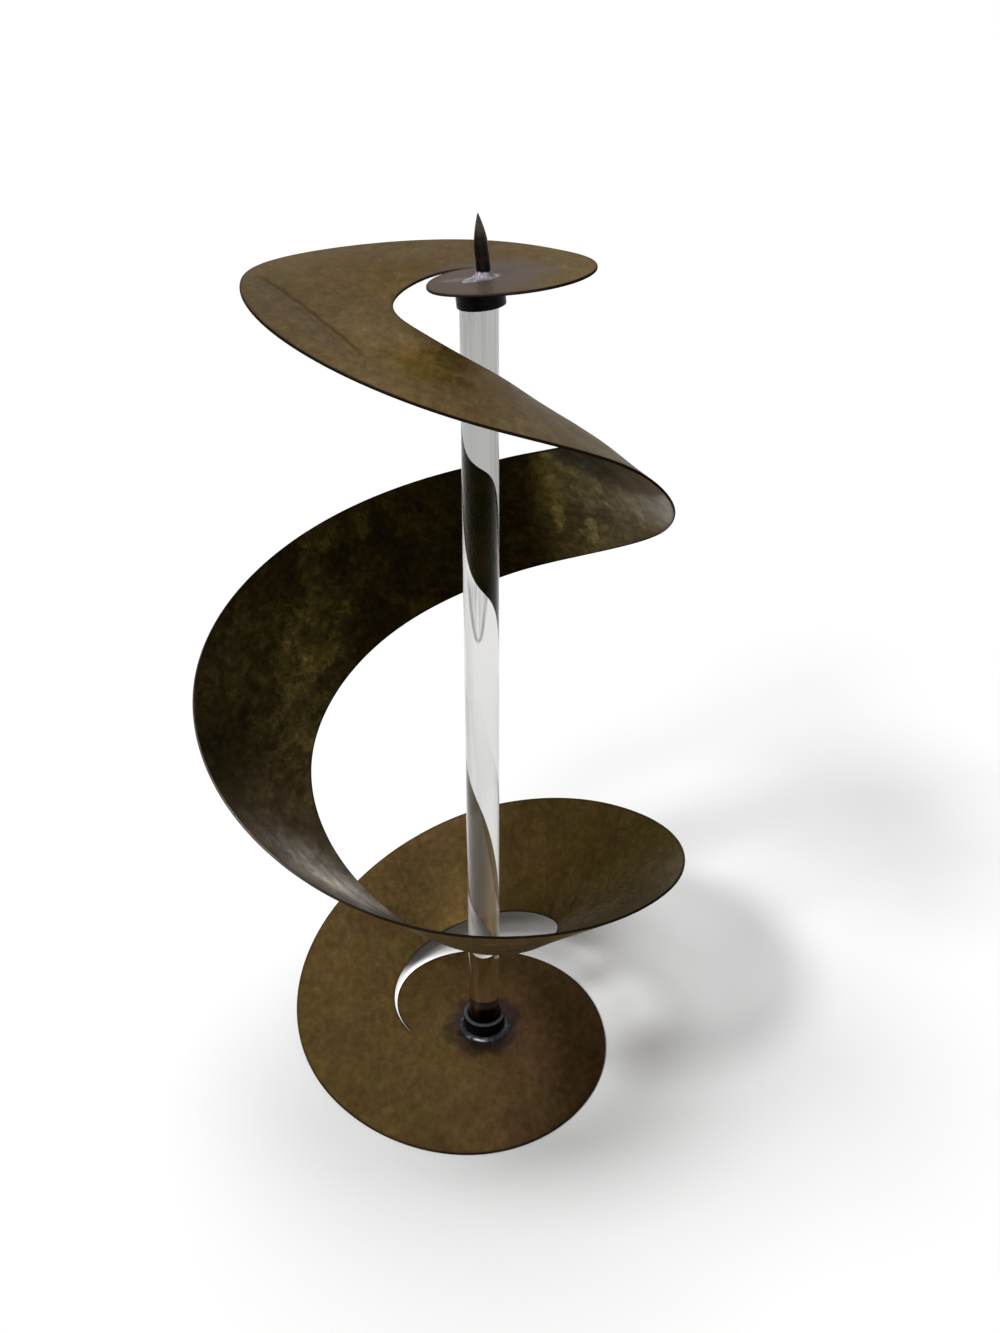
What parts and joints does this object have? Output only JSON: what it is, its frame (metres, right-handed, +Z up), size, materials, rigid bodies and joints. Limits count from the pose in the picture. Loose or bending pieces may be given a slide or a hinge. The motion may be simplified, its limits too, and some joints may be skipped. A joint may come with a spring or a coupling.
{
  "type": "candle holder",
  "caption": "Tall pricket candle holder: a sheet-brass ribbon spirals up round a clear column from a flat foot to a flat crown that carries the spike.",
  "frame": {"origin": "where the column's axis meets the table, on the underside of the foot", "axes": "+Z up along the column, +X to the right and +Y to the back as the picture sees it"},
  "size_m": [0.3633, 0.3533, 0.6606],
  "materials": {
    "patinated_brass": "mottled olive-brown patina under clear lacquer, satin to semi-gloss",
    "clear_acrylic": "clear, polished",
    "black_metal": "black, semi-gloss",
    "solder": "soft bright solder, grey where it has dulled",
    "dark_steel": "blackened, ground to a point"
  },
  "bodies": {
    "root": {"spiral_sheet": "patinated_brass", "column_rod": "clear_acrylic", "lower_socket": "black_metal", "lower_solder": "solder", "upper_socket": "black_metal", "upper_solder": "solder", "pricket_spike": "dark_steel", "spike_solder": "solder"}
  },
  "joints": []
}
